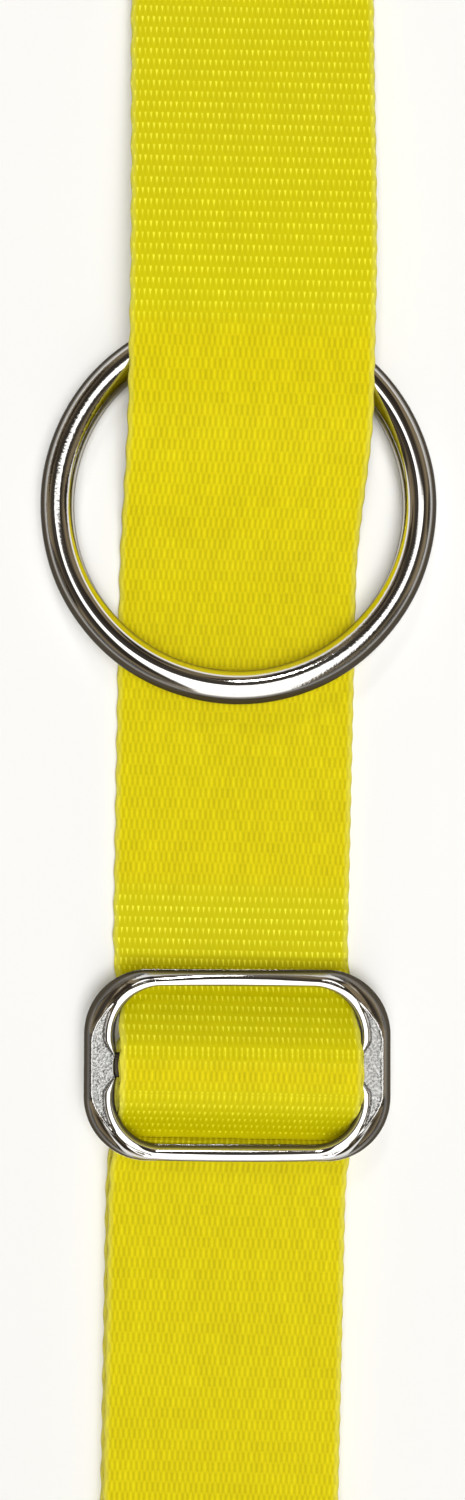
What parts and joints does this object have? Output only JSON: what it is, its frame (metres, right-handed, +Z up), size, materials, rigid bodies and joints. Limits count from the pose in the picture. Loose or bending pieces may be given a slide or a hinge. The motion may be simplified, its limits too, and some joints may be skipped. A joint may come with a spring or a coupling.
{
  "type": "adjustable web sling",
  "caption": "Adjustable flat webbing sling: a sewn eye, a loose round ring that the web is threaded through, and a metal slide that sets the length of the loop at its other end.",
  "frame": {"origin": "on the surface that the sling lies on, under the middle of its overall box", "axes": "+Y along the web from the loop to the sewn eye, +X across the web, +Z up from the surface"},
  "size_m": [0.041, 0.23, 0.0073],
  "materials": {
    "webbing": "bright yellow flat-woven polyester webbing with a fine rib",
    "thread": "yellow bonded polyester sewing thread in dense bar tacks",
    "nickel": "bright nickel plate, polished on the rims and wire"
  },
  "bodies": {
    "strap": {"webbing_eye": "webbing", "webbing_eye_lap": "webbing", "webbing_throat": "webbing", "webbing_upper": "webbing", "webbing_middle": "webbing", "eye_bar_tack_outer": "thread", "eye_bar_tack_inner": "thread"},
    "ring_bend": {"webbing_ring_bend": "webbing"},
    "ring": {"ring": "nickel"},
    "adjuster": {"slide": "nickel", "webbing_bar_bend": "webbing", "webbing_end_wrap": "webbing", "webbing_end_lap": "webbing", "webbing_return_lap": "webbing", "webbing_front": "webbing", "webbing_return": "webbing", "end_bar_tack_outer": "thread", "end_bar_tack_inner": "thread"},
    "loop_end": {"webbing_loop_end": "webbing"}
  },
  "joints": [
    {"name": "ring_travel", "type": "slide", "parent": "strap", "child": "ring_bend", "axis": [0, 1, 0], "range_m": [-0.012, 0.02], "deforming": ["webbing_upper", "webbing_middle"]},
    {"name": "ring_lift", "type": "hinge", "parent": "ring_bend", "child": "ring", "pos_m": [0, 0.02775, 0.00175], "axis": [-1, 0, 0], "range_deg": [0, 11]},
    {"name": "slide_travel", "type": "slide", "parent": "strap", "child": "adjuster", "axis": [0, 1, 0], "range_m": [-0.012, 0.012]},
    {"name": "loop_take_up", "type": "slide", "parent": "adjuster", "child": "loop_end", "axis": [0, 1, 0], "range_m": [-0.006, 0.006], "deforming": ["webbing_front", "webbing_return"]}
  ],
  "couplings": [
    {"joint": "loop_take_up", "follows": "slide_travel", "ratio": -0.5}
  ]
}
